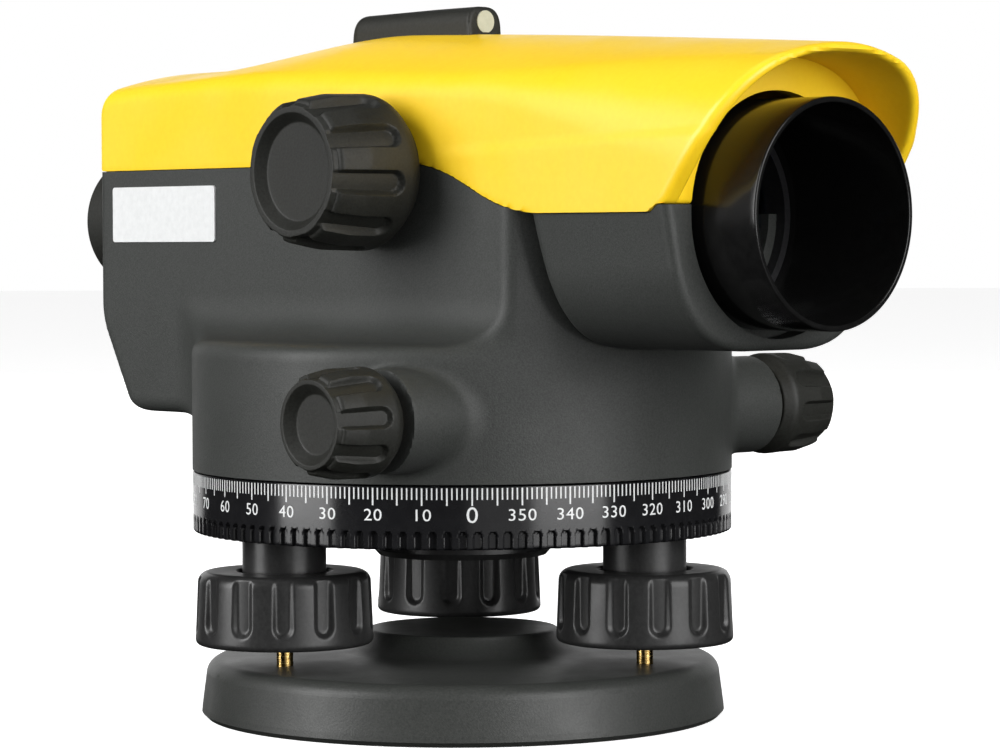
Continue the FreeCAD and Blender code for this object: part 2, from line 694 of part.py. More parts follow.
def nodes():
    made = {
        "base_plate": base_plate(),
        "base_sole": base_sole(),
        "sole_screws": sole_screws(),
        "tripod_insert": tripod_insert(),
        "spring_plate": spring_plate(),
        "tribrach_plate": tribrach_plate(),
        "leg_bushes": leg_bushes(),
        "axis_spindle": axis_spindle(),
        "spindle_nut": spindle_nut(),
        "graduated_ring": graduated_ring(),
        "circle_disc": circle_disc(),
        "worm_wheel": worm_wheel(),
        "clutch_spring": clutch_spring(),
        "lower_housing": lower_housing(),
        "bottom_flange": bottom_flange(),
        "flange_screws": screws_up(flange_screw_spots(), 45.9, 47.2, 58.0),
        "axis_bush": axis_bush(),
        "top_cover": top_cover(),
        "cover_screws": screws_up(COVER_POST_SPOTS, 65.8, 67.6, 82.0),
        "sight_body": sight_body(),
        "sight_window": sight_window(),
        "label_plate": label_plate(),
        "sunshade": sunshade(),
        "objective_cell": objective_cell(),
        "objective_lens_front": lens(OBJECTIVE_R, -62.8, -60.0, 70.0, 0),
        "objective_lens_rear": lens(OBJECTIVE_R, -59.9, -57.0, 0, 90.0),
        "telescope_tube": telescope_tube(),
        "focus_carriage": focus_carriage(),
        "focusing_lens": focusing_lens(),
        "focus_shaft": focus_shaft(),
        "focus_knob": focus_knob(),
        "focus_bush": focus_bush(),
        "drive_shaft": drive_shaft(),
        "drive_knob_left": drive_knob(1),
        "drive_knob_right": drive_knob(-1),
        "drive_bushes": drive_bushes(),
        "compensator_frame": compensator_frame(),
        "fixed_prism": fixed_prism(),
        "suspension_wires": suspension_wires(),
        "pendulum_carrier": pendulum_carrier(),
        "pendulum_prism": pendulum_prism(),
        "damper_cylinder": damper_cylinder(),
        "reticle_cell": reticle_cell(),
        "reticle_glass": reticle_glass(),
        "eyepiece_sleeve": eyepiece_sleeve(),
        "dioptre_ring": dioptre_ring(),
        "eyepiece_cell": eyepiece_cell(),
        "eyepiece_lenses": eyepiece_lenses(),
        "circular_level_housing": circular_level_housing(),
        "circular_level_vial": circular_level_vial(),
        "level_adjusting_screws": level_adjusting_screws(),
        "prism_housing": prism_housing(),
        "pentaprism": pentaprism(),
    }
    knobs = at_feet(footscrew_knob(), FOOT_KNOB_TURNS)
    spindles = at_feet(footscrew_spindle())
    for number, (knob, spindle) in enumerate(zip(knobs, spindles), start=1):
        made[f"footscrew_knob_{number}"] = knob
        made[f"footscrew_spindle_{number}"] = spindle
    return made


os.makedirs("parts", exist_ok=True)
for name, shape in nodes().items():
    if not shape.isValid():
        print("not valid:", name)
    print(f"{name}: {len(shape.Solids)} solids, {shape.Volume:.0f} mm3")
    shape.exportStep(f"parts/{name}.step")
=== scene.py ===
import json
import math

import bmesh
import bpy
import numpy as np
from mathutils import Matrix, Vector


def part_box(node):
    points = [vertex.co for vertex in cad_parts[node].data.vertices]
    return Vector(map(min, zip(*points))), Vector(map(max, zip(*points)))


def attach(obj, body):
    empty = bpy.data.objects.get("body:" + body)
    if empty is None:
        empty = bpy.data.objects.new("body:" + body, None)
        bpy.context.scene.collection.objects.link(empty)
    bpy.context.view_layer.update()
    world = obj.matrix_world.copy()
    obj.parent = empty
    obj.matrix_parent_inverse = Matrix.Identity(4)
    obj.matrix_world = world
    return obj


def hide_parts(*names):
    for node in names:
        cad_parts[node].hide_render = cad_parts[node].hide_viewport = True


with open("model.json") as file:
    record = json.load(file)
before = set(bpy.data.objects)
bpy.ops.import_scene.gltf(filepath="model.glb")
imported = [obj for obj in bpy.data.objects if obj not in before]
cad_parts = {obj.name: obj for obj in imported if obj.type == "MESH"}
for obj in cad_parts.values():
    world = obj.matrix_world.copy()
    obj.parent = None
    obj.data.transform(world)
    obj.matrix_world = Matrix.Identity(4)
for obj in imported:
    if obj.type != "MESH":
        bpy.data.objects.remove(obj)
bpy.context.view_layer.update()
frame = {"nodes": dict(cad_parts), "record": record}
NODES = frame["nodes"]

# Sizes in millimetres. The meshes are made in millimetres and scaled to metres when they are built.
MM = 0.001
WALL_X = 27.0
WALL_REAR = 75.0
DRUM_R = 49.6
DRUM_BOTTOM = 45.3
DRUM_TOP = 69.0
SEAM_REAR = 100.5
SEAM_FRONT = 91.4
BARREL_REAR = -48.5
BARREL_FRONT = -79.2
BARREL_BOTTOM = 68.3
AXIS_Z = 91.07
MOUTH_R = 20.8
VISOR_FRONT = -95.6
VISOR_KNEE_Y = -87.35
VISOR_KNEE_Z = 103.5
TUNNEL_HALF = 24.2
TUNNEL_CENTRE_Z = 98.0
TUNNEL_RISE = 19.6
TAIL_BOTTOM = 54.4
TAIL_REAR = 66.0
BODY_FILLET = 8.5
DRUM_EDGE = 3.0
SKIN = 2.4
DRIVE_Y = -29.4
DRIVE_Z = 56.3
BOSS_R = 9.0
BOSS_END = 45.3
FOCUS_Y = -9.4
FOCUS_Z = 98.95
RING_R = 49.5
RING_INNER_R = 46.4
RING_POCKETS = 120
FOOT_FLUTES = 13
FOOT_KNOB_TURNS = (1.0, 8.4, 13.3)
FOOT_FLUTE_FLOOR_R = 14.9
SIGHT_Z = 126.8
SIGHT_HOLE_R = 2.05
GRID = 0.6


def corners_mm(node):
    """A node's lowest and highest corners in millimetres."""
    low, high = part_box(node)
    return np.array(low) / MM, np.array(high) / MM


# Meshes

def build(name, points, faces, smooth=True, sharp=None):
    """A mesh object from points in millimetres."""
    mesh = bpy.data.meshes.new(name)
    mesh.from_pydata((np.asarray(points) * MM).tolist(), [], [list(map(int, f)) for f in faces])
    mesh.update()
    mesh.polygons.foreach_set("use_smooth", [smooth] * len(mesh.polygons))
    if sharp is not None:
        mesh.set_sharp_from_angle(angle=math.radians(sharp))
    piece = bpy.data.objects.new(name, mesh)
    bpy.context.scene.collection.objects.link(piece)
    return piece


def smooth_min(a, b, width):
    """The union of two solids' distances, with a fillet about as wide as width."""
    near = np.maximum(width - np.abs(a - b), 0.0) / width
    return np.minimum(a, b) - near * near * width / 4


def smooth_max(a, b, width):
    return -smooth_min(-a, -b, width)


def ramp(start, stop, value):
    """0 at start, 1 at stop, with soft ends."""
    t = np.clip((value - start) / (stop - start), 0.0, 1.0)
    return t * t * (3 - 2 * t)


def normals_of(field, points):
    """Unit normals of a field at points."""
    reach = 0.02
    normals = np.empty_like(points)
    for axis in range(3):
        shift = np.zeros(3)
        shift[axis] = reach
        normals[:, axis] = field(*(points + shift).T) - field(*(points - shift).T)
    return normals / np.maximum(np.linalg.norm(normals, axis=1, keepdims=True), 1e-12)


def crossings(value, axes, step, axis):
    """Where the surface crosses the grid's lines along one axis, and the four cells round each crossing."""
    shape = value.shape
    others = [k for k in range(3) if k != axis]
    before = np.take(value, range(shape[axis] - 1), axis)
    after = np.take(value, range(1, shape[axis]), axis)
    at = np.argwhere((before < 0) != (after < 0))
    inner = np.all([(at[:, k] > 0) & (at[:, k] < shape[k] - 1) for k in others], axis=0)
    at = at[inner]
    v0 = before[tuple(at.T)].astype(float)
    v1 = after[tuple(at.T)].astype(float)
    points = np.stack([axes[k][at[:, k]] for k in range(3)], 1)
    points[:, axis] += step * v0 / (v0 - v1)
    strides = np.array([(shape[1] - 1) * (shape[2] - 1), shape[2] - 1, 1])
    ring = []
    for u, v in ((-1, -1), (0, -1), (0, 0), (-1, 0)):
        cell = at.copy()
        cell[:, others[0]] += u
        cell[:, others[1]] += v
        ring.append(cell @ strides)
    ring = np.stack(ring, 1)
    backwards = (v0 >= 0) if axis != 1 else (v0 < 0)
    ring[backwards] = ring[backwards][:, ::-1]
    return points, ring


def contour(name, field, low, high, step):
    """A closed mesh of the surface where field(x, y, z) is zero, sharp edges kept (dual contouring)."""
    axes = [np.arange(a - 2 * step, b + 3 * step, step) for a, b in zip(low, high)]
    value = np.empty([len(a) for a in axes], dtype=np.float32)
    y, z = np.meshgrid(axes[1], axes[2], indexing="ij")
    for i, x in enumerate(axes[0]):
        value[i] = field(np.full_like(y, x), y, z)
    found = [crossings(value, axes, step, axis) for axis in range(3)]
    points = np.concatenate([f[0] for f in found])
    rings = np.concatenate([f[1] for f in found])
    for _ in range(2):
        points = points - 0.9 * normals_of(field, points) * field(*points.T)[:, None]
    normals = normals_of(field, points)
    cells, index = np.unique(rings.ravel(), return_inverse=True)
    index = index.reshape(rings.shape)
    count = len(cells)
    weight = np.bincount(index.ravel(), minlength=count).astype(float)
    flat = index.ravel()

    def gathered(values):
        """The sum over each cell of a value of its crossings."""
        return np.bincount(flat, weights=np.repeat(values, 4), minlength=count)

    middle = np.stack([gathered(points[:, k]) for k in range(3)], 1) / weight[:, None]
    offset = np.einsum("ij,ij->i", normals, points)
    square = np.empty((count, 3, 3))
    right = np.empty((count, 3))
    for a in range(3):
        right[:, a] = gathered(normals[:, a] * offset)
        for b in range(3):
            square[:, a, b] = gathered(normals[:, a] * normals[:, b])
    right -= np.einsum("nab,nb->na", square, middle)
    square += 0.08 * np.eye(3)
    shift = np.linalg.solve(square, right[:, :, None])[:, :, 0]
    length = np.linalg.norm(shift, axis=1, keepdims=True)
    shift *= np.minimum(1.0, step / np.maximum(length, 1e-9))
    return build(name, middle + shift, index, sharp=38)


def rounded_profile(corners, run=0.6):
    """A line through (radius, height, corner radius) points, with arcs at its corners and runs cut up."""
    line = [np.array(corners[0][:2], float)]
    for i in range(1, len(corners) - 1):
        here = np.array(corners[i][:2], float)
        radius = corners[i][2] if len(corners[i]) > 2 else 0.0
        before = np.array(corners[i - 1][:2], float) - here
        after = np.array(corners[i + 1][:2], float) - here
        before /= np.linalg.norm(before)
        after /= np.linalg.norm(after)
        half = math.acos(np.clip(before @ after, -1, 1)) / 2
        if radius == 0.0 or half > 1.5:
            line.append(here)
            continue
        middle = (before + after) / np.linalg.norm(before + after)
        centre = here + middle * radius / math.sin(half)
        start = here + before * radius / math.tan(half) - centre
        stop = here + after * radius / math.tan(half) - centre
        turn = math.atan2(start[0] * stop[1] - start[1] * stop[0], start @ stop)
        steps = max(3, int(abs(turn) / 0.2))
        for k in range(steps + 1):
            c, s = math.cos(turn * k / steps), math.sin(turn * k / steps)
            line.append(centre + np.array([c * start[0] - s * start[1], s * start[0] + c * start[1]]))
    line.append(np.array(corners[-1][:2], float))
    cut = [line[0]]
    for a, b in zip(line[:-1], line[1:]):
        pieces = max(1, math.ceil(np.linalg.norm(b - a) / run))
        cut += [a + (b - a) * k / pieces for k in range(1, pieces + 1)]
    return np.array(cut)


def lathe(name, corners, segments, run=0.6, shape=None, closed=False, sharp=32):
    """A turned piece about the Z axis; shape(angle, radius, height) may change each point's radius."""
    if closed:
        line = rounded_profile(list(corners) + [corners[0]], run)[:-1]
    else:
        line = rounded_profile(corners, run)
    angle = np.arange(segments) * 2 * math.pi / segments
    radius = np.repeat(line[:, 0][:, None], segments, 1)
    height = np.repeat(line[:, 1][:, None], segments, 1)
    turn = np.repeat(angle[None, :], len(line), 0)
    if shape is not None:
        radius = shape(turn, radius, height)
    points = np.stack([radius * np.cos(turn), radius * np.sin(turn), height], 2).reshape(-1, 3)
    rows = len(line)
    faces = []
    last = rows if closed else rows - 1
    for i in range(last):
        a = i * segments
        b = ((i + 1) % rows) * segments
        for j in range(segments):
            k = (j + 1) % segments
            faces.append((a + j, a + k, b + k, b + j))
    piece = build(name, points, faces, sharp=sharp)
    weld(piece)
    return piece


def weld(piece):
    """Joins the points that fall together on the axis, drops empty faces and turns the normals out."""
    work = bmesh.new()
    work.from_mesh(piece.data)
    bmesh.ops.remove_doubles(work, verts=work.verts, dist=1e-7)
    bmesh.ops.recalc_face_normals(work, faces=work.faces)
    work.to_mesh(piece.data)
    work.free()


def move_points(piece, x, y, z, to):
    """Gives a piece new axes, each a function of its points' three coordinates, and moves it to a point."""
    points = np.empty(len(piece.data.vertices) * 3)
    piece.data.vertices.foreach_get("co", points)
    old = points.reshape(-1, 3).T
    moved = np.stack([x(old), y(old), z(old)], 1) + np.array(to) * MM
    piece.data.vertices.foreach_set("co", moved.ravel())
    piece.data.update()


def aim_along_x(piece, tip, y, z, side):
    """Turns a piece drawn along +Z, tip at 0, to point along side * X at (tip, y, z)."""
    move_points(piece, lambda old: side * old[2], lambda old: old[1], lambda old: -side * old[0],
                (side * tip, y, z))


def aim_along_y(piece, tip, side):
    """Turns a piece drawn along +Z, tip at 0, to point along side * Y on the telescope's axis."""
    move_points(piece, lambda old: old[0], lambda old: side * old[2], lambda old: -side * old[1],
                (0.0, tip, AXIS_Z))


# Materials

def shader(name, colour, rough, metallic=0.0, **sockets):
    """A new material with one Principled shader; sockets are its other inputs by name."""
    made = bpy.data.materials.new(name)
    made.use_nodes = True
    tree = made.node_tree
    bsdf = tree.nodes["Principled BSDF"]
    bsdf.inputs["Base Color"].default_value = (*colour, 1.0)
    bsdf.inputs["Roughness"].default_value = rough
    bsdf.inputs["Metallic"].default_value = metallic
    for socket, value in sockets.items():
        bsdf.inputs[socket.replace("_", " ")].default_value = value
    return made, tree, bsdf


def noise(tree, scale, detail=4.0, rough=0.6):
    """Object-space noise; scale is in cells per metre."""
    place = tree.nodes.new("ShaderNodeTexCoord")
    made = tree.nodes.new("ShaderNodeTexNoise")
    made.inputs["Scale"].default_value = scale
    made.inputs["Detail"].default_value = detail
    made.inputs["Roughness"].default_value = rough
    tree.links.new(place.outputs["Object"], made.inputs["Vector"])
    return made


def mapped(tree, source, low, high, start=0.35, stop=0.65):
    """A noise output turned into values between low and high."""
    made = tree.nodes.new("ShaderNodeMapRange")
    made.inputs["From Min"].default_value = start
    made.inputs["From Max"].default_value = stop
    made.inputs["To Min"].default_value = low
    made.inputs["To Max"].default_value = high
    tree.links.new(source, made.inputs["Value"])
    return made.outputs["Result"]


def blotches(tree, bsdf, source, colour_a, colour_b, start=0.35, stop=0.65):
    """Base colour that varies between two colours with a noise."""
    made = tree.nodes.new("ShaderNodeValToRGB")
    made.color_ramp.elements[0].position = start
    made.color_ramp.elements[0].color = (*colour_a, 1.0)
    made.color_ramp.elements[1].position = stop
    made.color_ramp.elements[1].color = (*colour_b, 1.0)
    tree.links.new(source, made.inputs["Fac"])
    tree.links.new(made.outputs["Color"], bsdf.inputs["Base Color"])


def bumped(tree, bsdf, source, strength, depth):
    """A bump of the given depth in metres."""
    made = tree.nodes.new("ShaderNodeBump")
    made.inputs["Strength"].default_value = strength
    made.inputs["Distance"].default_value = depth
    tree.links.new(source, made.inputs["Height"])
    tree.links.new(made.outputs["Normal"], bsdf.inputs["Normal"])


def moulded(name, dark, light, rough, grain, depth, spread=0.06, **sockets):
    """Moulded plastic, rubber or paint: a fine grain, slight colour variation and uneven gloss."""
    made, tree, bsdf = shader(name, light, rough, **sockets)
    fine = noise(tree, grain, 3.0, 0.55)
    wide = noise(tree, 60.0, 5.0, 0.6)
    blotches(tree, bsdf, fine.outputs["Fac"], dark, light, 0.3, 0.7)
    bumped(tree, bsdf, fine.outputs["Fac"], 1.0, depth)
    gloss = mapped(tree, wide.outputs["Fac"], rough - spread, rough + spread)
    tree.links.new(gloss, bsdf.inputs["Roughness"])
    return made


def machined(name, dark, light, rough, **sockets):
    """Turned or rolled metal with fine tool marks."""
    made, tree, bsdf = shader(name, light, rough, metallic=1.0, **sockets)
    place = tree.nodes.new("ShaderNodeTexCoord")
    stretch = tree.nodes.new("ShaderNodeMapping")
    stretch.inputs["Scale"].default_value = (300.0, 300.0, 6000.0)
    marks = tree.nodes.new("ShaderNodeTexNoise")
    marks.inputs["Scale"].default_value = 1.0
    marks.inputs["Detail"].default_value = 3.0
    tree.links.new(place.outputs["Object"], stretch.inputs["Vector"])
    tree.links.new(stretch.outputs["Vector"], marks.inputs["Vector"])
    blotches(tree, bsdf, marks.outputs["Fac"], dark, light)
    bumped(tree, bsdf, marks.outputs["Fac"], 0.4, 0.00002)
    tree.links.new(mapped(tree, marks.outputs["Fac"], rough - 0.06, rough + 0.08), bsdf.inputs["Roughness"])
    return made


def glassy(name, colour, rough, ior=1.5, **sockets):
    """Coated glass with a faint unevenness."""
    made, tree, bsdf = shader(name, colour, rough, **sockets)
    bsdf.inputs["Transmission Weight"].default_value = 1.0
    bsdf.inputs["IOR"].default_value = ior
    wide = noise(tree, 40.0, 2.0)
    tree.links.new(mapped(tree, wide.outputs["Fac"], rough, rough + 0.02), bsdf.inputs["Roughness"])
    return made


def make_materials():
    """One material for each slot of the record."""
    return {
        "charcoal": moulded("charcoal_plastic", (0.026, 0.028, 0.026), (0.044, 0.047, 0.044),
                            0.55, 3200.0, 0.00004, Specular_IOR_Level=0.4),
        "yellow": moulded("yellow_plastic", (0.93, 0.60, 0.012), (0.95, 0.63, 0.016),
                          0.38, 900.0, 0.000006),
        "soft_black": moulded("black_rubber", (0.011, 0.011, 0.009), (0.020, 0.021, 0.018),
                              0.55, 2200.0, 0.00003, Specular_IOR_Level=0.35),
        "ring_black": moulded("gloss_black_ring", (0.009, 0.009, 0.010), (0.012, 0.012, 0.013),
                              0.16, 500.0, 0.000003, spread=0.02, Specular_IOR_Level=0.4),
        "foot_black": moulded("satin_black", (0.016, 0.016, 0.016), (0.026, 0.026, 0.026),
                              0.34, 1500.0, 0.00001, Specular_IOR_Level=0.4),
        "base_charcoal": moulded("base_paint", (0.026, 0.028, 0.026), (0.042, 0.044, 0.041),
                                 0.46, 2600.0, 0.00003, Specular_IOR_Level=0.4),
        "shade_black": moulded("gloss_black", (0.006, 0.006, 0.006), (0.009, 0.009, 0.009),
                               0.16, 700.0, 0.000003, spread=0.02, Specular_IOR_Level=0.3),
        "black_metal": moulded("anodised_black", (0.010, 0.010, 0.011), (0.020, 0.020, 0.022),
                               0.40, 1800.0, 0.00001),
        "brass": machined("turned_brass", (0.52, 0.33, 0.10), (0.80, 0.56, 0.22), 0.20),
        "bronze": machined("bearing_bronze", (0.42, 0.24, 0.10), (0.60, 0.38, 0.18), 0.34),
        "steel": machined("turned_steel", (0.42, 0.43, 0.45), (0.62, 0.63, 0.65), 0.28),
        "spring_steel": machined("spring_steel", (0.30, 0.31, 0.34), (0.48, 0.49, 0.52), 0.32),
        "aluminium": machined("machined_aluminium", (0.60, 0.61, 0.62), (0.78, 0.79, 0.80), 0.30),
        "lens_glass": glassy("coated_lens", (0.55, 0.62, 0.72), 0.01, 1.12),
        "prism_glass": glassy("prism_glass", (0.94, 0.98, 0.97), 0.01),
        "level_glass": glassy("level_vial", (0.62, 0.90, 0.35), 0.02),
        "window_white": moulded("translucent_white", (0.45, 0.46, 0.37), (0.51, 0.52, 0.43),
                                0.35, 900.0, 0.00001),
        "label_white": moulded("label_white", (0.69, 0.70, 0.70), (0.75, 0.76, 0.76),
                               0.34, 900.0, 0.000004),
    }


MATERIALS = make_materials()


def dress_nodes():
    """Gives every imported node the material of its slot."""
    for entry in frame["record"]["subparts"]:
        node = NODES.get(entry["node"])
        if node is None:
            continue
        node.data.materials.clear()
        node.data.materials.append(MATERIALS[entry["material_slot"]])


def finish_piece(piece, body, slot, *replaced):
    """Gives a new piece its material and body, and hides the nodes that it stands for."""
    piece.data.materials.clear()
    piece.data.materials.append(MATERIALS[slot])
    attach(piece, body)
    if replaced:
        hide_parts(*replaced)
    return piece


# Housing

def seam_height(y):
    """The seam between housing and cover: high at the rear, a slope, then low at the front."""
    slope = (SEAM_REAR - SEAM_FRONT) / 20.0
    line = SEAM_FRONT + slope * (y + 42.0)
    soft = 3.5
    raised = smooth_max(line, np.full_like(y, SEAM_FRONT), soft) + 1.3 * ramp(-74.8, -77.6, y)
    return smooth_min(raised, np.full_like(y, SEAM_REAR), soft)


def telescope_body(x, y, z):
    """The body's walls, rear and underside; its front is the drum's cylinder."""
    plan = smooth_max(np.abs(x) - WALL_X, y - WALL_REAR, 1.4)
    slant = ((y - TAIL_REAR) * 16.6 - (z - TAIL_BOTTOM) * 9.0) / 18.9
    return smooth_max(smooth_max(plan, slant, 2.4), TAIL_BOTTOM - z, 3.0)


def body_on_drum(x, y, z):
    """The telescope body on the drum, whose cylinder runs up to the seam in front."""
    cylinder = np.hypot(x, y) - DRUM_R
    top = z - DRUM_TOP
    body = telescope_body(x, y, z)
    edge = DRUM_EDGE - 1.4 * ramp(DRUM_TOP, DRUM_TOP + 5.0, z)
    front = smooth_max(smooth_min(top, body, BODY_FILLET), cylinder, edge)
    rear = smooth_min(smooth_max(top, cylinder, DRUM_EDGE), body, BODY_FILLET)
    return np.where(y < 0, front, rear)


def barrel_section(x, z):
    side = (np.abs(x) - 26.6 + 0.215 * (92.0 - z)) * 0.978
    return smooth_max(side, BARREL_BOTTOM - z, 14.5)


def neck(x, y, z):
    """The block, slimmer than the barrel, that joins it to the drum."""
    along = np.maximum(BARREL_REAR - 1.0 - y, y + 30.0)
    return np.maximum(barrel_section(x, z) + 4.0, along)


def barrel(x, y, z):
    rear = BARREL_REAR + 1.9 * ramp(72.0, 92.0, z)
    ends = np.maximum(y - rear, BARREL_FRONT - y)
    return smooth_max(barrel_section(x, z), ends, 1.8)


def across(x, y, z, radius, half):
    """A cylinder along X through the drive shaft's axis."""
    return smooth_max(np.hypot(y - DRIVE_Y, z - DRIVE_Z) - radius, np.abs(x) - half, 0.6)


def housing_outside(x, y, z):
    form = np.maximum(body_on_drum(x, y, z), DRUM_BOTTOM - z)
    form = smooth_min(form, across(x, y, z, BOSS_R, BOSS_END), 1.6)
    form = np.minimum(form, neck(x, y, z))
    form = smooth_min(form, barrel(x, y, z), 0.8)
    return np.maximum(form, z - seam_height(y))


def housing_inside(x, y, z):
    """The room for the works, the drum's hollow and the bores."""
    works = smooth_max(np.abs(x) - WALL_X + SKIN, np.maximum(-36.0 - y, y - 72.0), 3.0)
    works = np.maximum(works, 72.0 - z)
    hollow = np.maximum(np.hypot(x, y) - DRUM_R + 2.8, z - 65.6)
    bore = np.hypot(x, z - AXIS_Z)
    mouth = np.maximum(bore - MOUTH_R, y - BARREL_FRONT - 4.0)
    tube = np.maximum(bore - 19.4, y + 63.0)
    rear = np.maximum(bore - 15.02, np.abs(y + 50.0) - 20.0)
    eyepiece = np.maximum(bore - 11.15, 60.0 - y)
    shaft = np.hypot(y - DRIVE_Y, z - DRIVE_Z) - 5.0
    focus = np.maximum(np.hypot(y - FOCUS_Y, z - FOCUS_Z) - 5.0, x)
    room = works
    for hole in (hollow, mouth, tube, rear, eyepiece, focus):
        room = np.minimum(room, hole)
    room = np.maximum(room, -np.maximum(across(x, y, z, 7.5, 41.0), 27.0 - np.abs(x)))
    return np.minimum(room, shaft)


def housing(x, y, z):
    return np.maximum(housing_outside(x, y, z), -housing_inside(x, y, z))


def make_housing():
    low, high = corners_mm("lower_housing")
    piece = contour("housing_shell", housing, low, high, GRID)
    return finish_piece(piece, "alidade", "charcoal", "lower_housing")


# Cover

def crown_height(y):
    """The cover's highest line, from the rear to the visor."""
    rise = 4.7 * ramp(57.0, 12.0, y)
    forward = np.maximum(10.0 - y, 0.0) / 103.0
    return 120.4 + rise - 5.7 * forward ** 1.2


def edge_height(y):
    """The line where the cover's walls meet its roof."""
    return 117.2 - 0.046 * np.maximum(31.0 - y, 0.0) - 0.0008 * np.maximum(y - 31.0, 0.0) ** 2


def visor_slant(y, z):
    """Distance in front of the visor's slanted face, which is steeper above its middle."""
    below = VISOR_KNEE_Z - z
    rim = VISOR_KNEE_Y + 0.559 * below + 0.0855 * (np.sqrt(below * below + 9.0) + below)
    return (rim - y) * 0.857


def cover_outside(x, y, z, inset=0.0):
    half = WALL_X + 0.1
    flare = 0.35 * ramp(103.5 - 0.035 * (y + 21.0), 101.0 - 0.035 * (y + 21.0), z) * ramp(-16.0, -34.0, y)
    wall = np.abs(x) - half - flare + 0.35 * ramp(-16.0, -34.0, y)
    side = np.minimum(np.abs(x) / half, 1.2)
    roof = edge_height(y) + (crown_height(y) - edge_height(y)) * (1 - side ** 1.9)
    soft = 3.0 + 10.0 * ramp(-25.0, -95.0, y)
    form = smooth_max(wall, (z - roof) * 0.95, soft)
    form = smooth_max(form, y - WALL_REAR - 0.1, 1.6 + 2.4 * ramp(111.0, 118.0, z))
    return form + inset


def tunnel(x, y, z):
    """The visor's inside."""
    height = np.maximum(z - TUNNEL_CENTRE_Z, 0.0) / TUNNEL_RISE
    power = 2.4
    arch = ((np.abs(x) / TUNNEL_HALF) ** power + height ** power) ** (1 / power)
    return np.maximum((arch - 1) * 20.0, y - BARREL_FRONT)


def cover(x, y, z):
    form = smooth_max(cover_outside(x, y, z), visor_slant(y, z), 2.0)
    form = np.maximum(form, VISOR_FRONT + 0.05 - y)
    floor = seam_height(y) + 0.12
    form = smooth_max(form, floor - z, 0.5)
    hollow = np.maximum(cover_outside(x, y, z, SKIN), BARREL_FRONT + SKIN - y)
    bore = np.hypot(x, z - AXIS_Z)
    mouth = np.maximum(bore - MOUTH_R, y + 70.0)
    eyepiece = np.maximum(bore - 11.15, 60.0 - y)
    focus = np.maximum(np.hypot(y - FOCUS_Y, z - FOCUS_Z) - 5.0, x)
    form = smooth_max(form, -tunnel(x, y, z), 0.9)
    for hole in (hollow, mouth, eyepiece, focus):
        form = np.maximum(form, -hole)
    return form


def make_cover():
    low, high = corners_mm("top_cover")
    piece = contour("cover_shell", cover, low, high, GRID)
    return finish_piece(piece, "alidade", "yellow", "top_cover")


def sight(x, y, z):
    """The optical sight's body: a bar with a rounded top, its front bored for the window."""
    top = 129.55 - 0.012 * np.maximum(y - 5.0, 0.0)
    section = smooth_max(np.abs(x) - 4.0, z - top, 3.4)
    rear = (y - 27.5 + 0.1 * (z - 122.0)) * 0.99
    form = smooth_max(section, rear, 2.6)
    form = smooth_max(form, -6.9 - y + 0.06 * (z - 122.0), 0.7)
    return np.maximum(form, -np.maximum(np.hypot(x, z - SIGHT_Z) - SIGHT_HOLE_R, y + 5.2))


def make_sight():
    low, high = corners_mm("sight_body")
    low[2] -= 1.5

    def on_cover(x, y, z):
        return np.maximum(sight(x, y, z), crown_height(y) - 1.8 - z)

    piece = contour("sight_bar", on_cover, low, high, 0.35)
    return finish_piece(piece, "alidade", "soft_black", "sight_body")


# Knobs

def flute_shape(count, base_r, half_width, rear, floor_front, floor_rear, phase=0.0, soft=0.3):
    """A radius change for flutes that are round at their rear and run forward to the knob's crest."""
    pitch = 2 * math.pi / count

    def change(turn, radius, height):
        across_flute = ((turn - phase + pitch / 2) % pitch - pitch / 2) * base_r
        along = np.maximum(rear + half_width - height, 0.0)
        edge = np.hypot(across_flute, along) - half_width
        floor = floor_front + (floor_rear - floor_front) * np.minimum(height / rear, 1.0)
        depth = np.where(radius > base_r * 0.62, np.maximum(radius - floor, 0.0), 0.0)
        return radius - depth * (1 - ramp(-soft, soft, edge))

    return change


def make_focus_knob():
    low, high = corners_mm("focus_knob")
    rear = low[0] - high[0]
    corners = [(0, rear + 3.7), (6.2, rear + 3.7), (6.2, rear), (11.4, rear, 0.5), (13.8, rear + 3.0, 2.9),
               (13.55, -7.0, 9.0), (12.5, -1.2, 0.9), (11.75, -1.0, 0.3), (11.4, 0.0, 0.3),
               (10.2, 0.0, 0.3), (8.6, -1.75, 0.5), (0, -1.75)]
    change = flute_shape(10, 13.5, 1.95, -14.1, 11.2, 12.7, math.radians(9.0), 0.4)
    piece = lathe("focus_grip", corners, 480, 0.3, change)
    aim_along_x(piece, -low[0], FOCUS_Y, FOCUS_Z, -1)
    return finish_piece(piece, "focus_turn", "soft_black", "focus_knob")


def make_drive_knob(node, side):
    low, high = corners_mm(node)
    rear = low[0] - high[0]
    tip = max(abs(low[0]), abs(high[0]))
    corners = [(0, rear + 1.0), (5.6, rear + 1.0), (5.6, rear), (7.9, rear, 0.4), (9.45, rear + 2.0, 1.8),
               (9.35, -5.2, 6.0), (8.5, -0.9, 0.7), (7.85, -0.8, 0.25), (7.6, 0.0, 0.25), (6.8, 0.0, 0.25),
               (5.1, -1.65, 0.4), (0, -1.65)]
    change = flute_shape(9, 9.2, 1.6, -10.3, 7.5, 8.6, math.radians(-2.0), 0.3)
    piece = lathe("grip_" + node, corners, 360, 0.25, change)
    aim_along_x(piece, tip, DRIVE_Y, DRIVE_Z, side)
    return finish_piece(piece, "drive", "soft_black", node)


